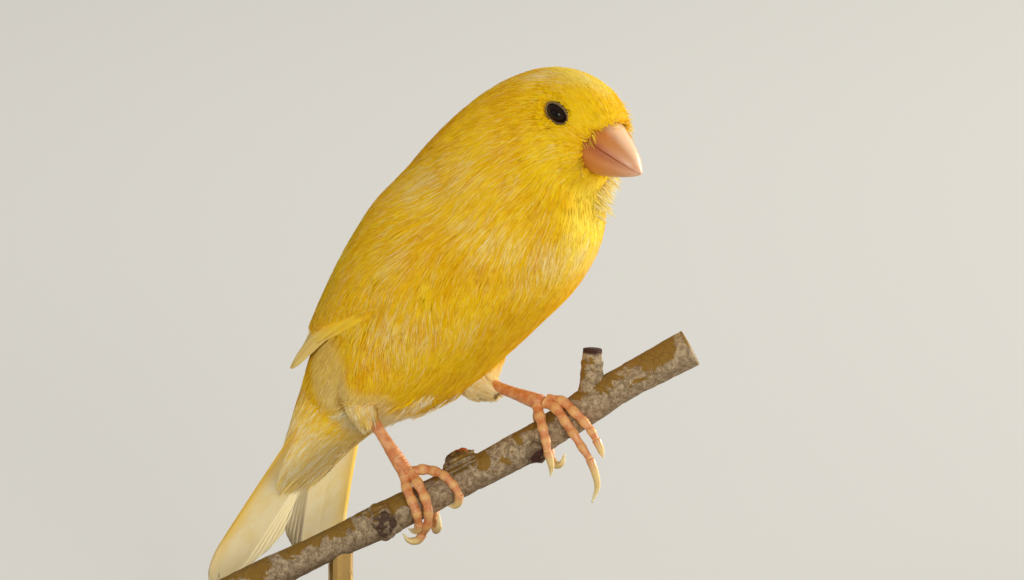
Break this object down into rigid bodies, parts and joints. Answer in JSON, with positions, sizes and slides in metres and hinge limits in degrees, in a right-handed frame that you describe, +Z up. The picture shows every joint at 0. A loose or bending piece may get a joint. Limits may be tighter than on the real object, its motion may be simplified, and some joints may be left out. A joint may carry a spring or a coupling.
{
  "type": "perched canary",
  "caption": "Life-size still model of a plump yellow canary gripping a short slanting cut twig, held above a flat round base by a short rod.",
  "frame": {"origin": "centre of the round base's flat underside", "axes": "+Z up; +X the way the bird's body and bill point, +Y the bird's left"},
  "size_m": [0.0989, 0.092, 0.1184],
  "materials": {
    "plumage": "soft matte feathers",
    "flight_feathers": "smooth matte vanes",
    "tail_feathers": "smooth matte vanes",
    "horn": "satin horn",
    "eye": "wet gloss",
    "leg_skin": "scaled satin skin",
    "claw": "satin horn",
    "bark": "rough grey-brown bark",
    "stand_wood": "dark satin stained wood",
    "stand_metal": "satin brushed"
  },
  "bodies": {
    "root": {"bill_lower": "horn", "bill_upper": "horn", "claw_left_hind": "claw", "claw_left_inner": "claw", "claw_left_middle": "claw", "claw_left_outer": "claw", "claw_right_hind": "claw", "claw_right_inner": "claw", "claw_right_middle": "claw", "claw_right_outer": "claw", "eye_left": "eye", "eye_right": "eye", "foot_left": "leg_skin", "foot_right": "leg_skin", "head": "plumage", "neck": "plumage", "perch_twig": "bark", "rump": "plumage", "shank_left": "leg_skin", "shank_right": "leg_skin", "stand_base": "stand_wood", "stand_rod": "stand_metal", "tail_left": "tail_feathers", "tail_right": "tail_feathers", "thigh_left": "plumage", "thigh_right": "plumage", "torso": "plumage", "wing_left": "flight_feathers", "wing_right": "flight_feathers"}
  },
  "joints": []
}
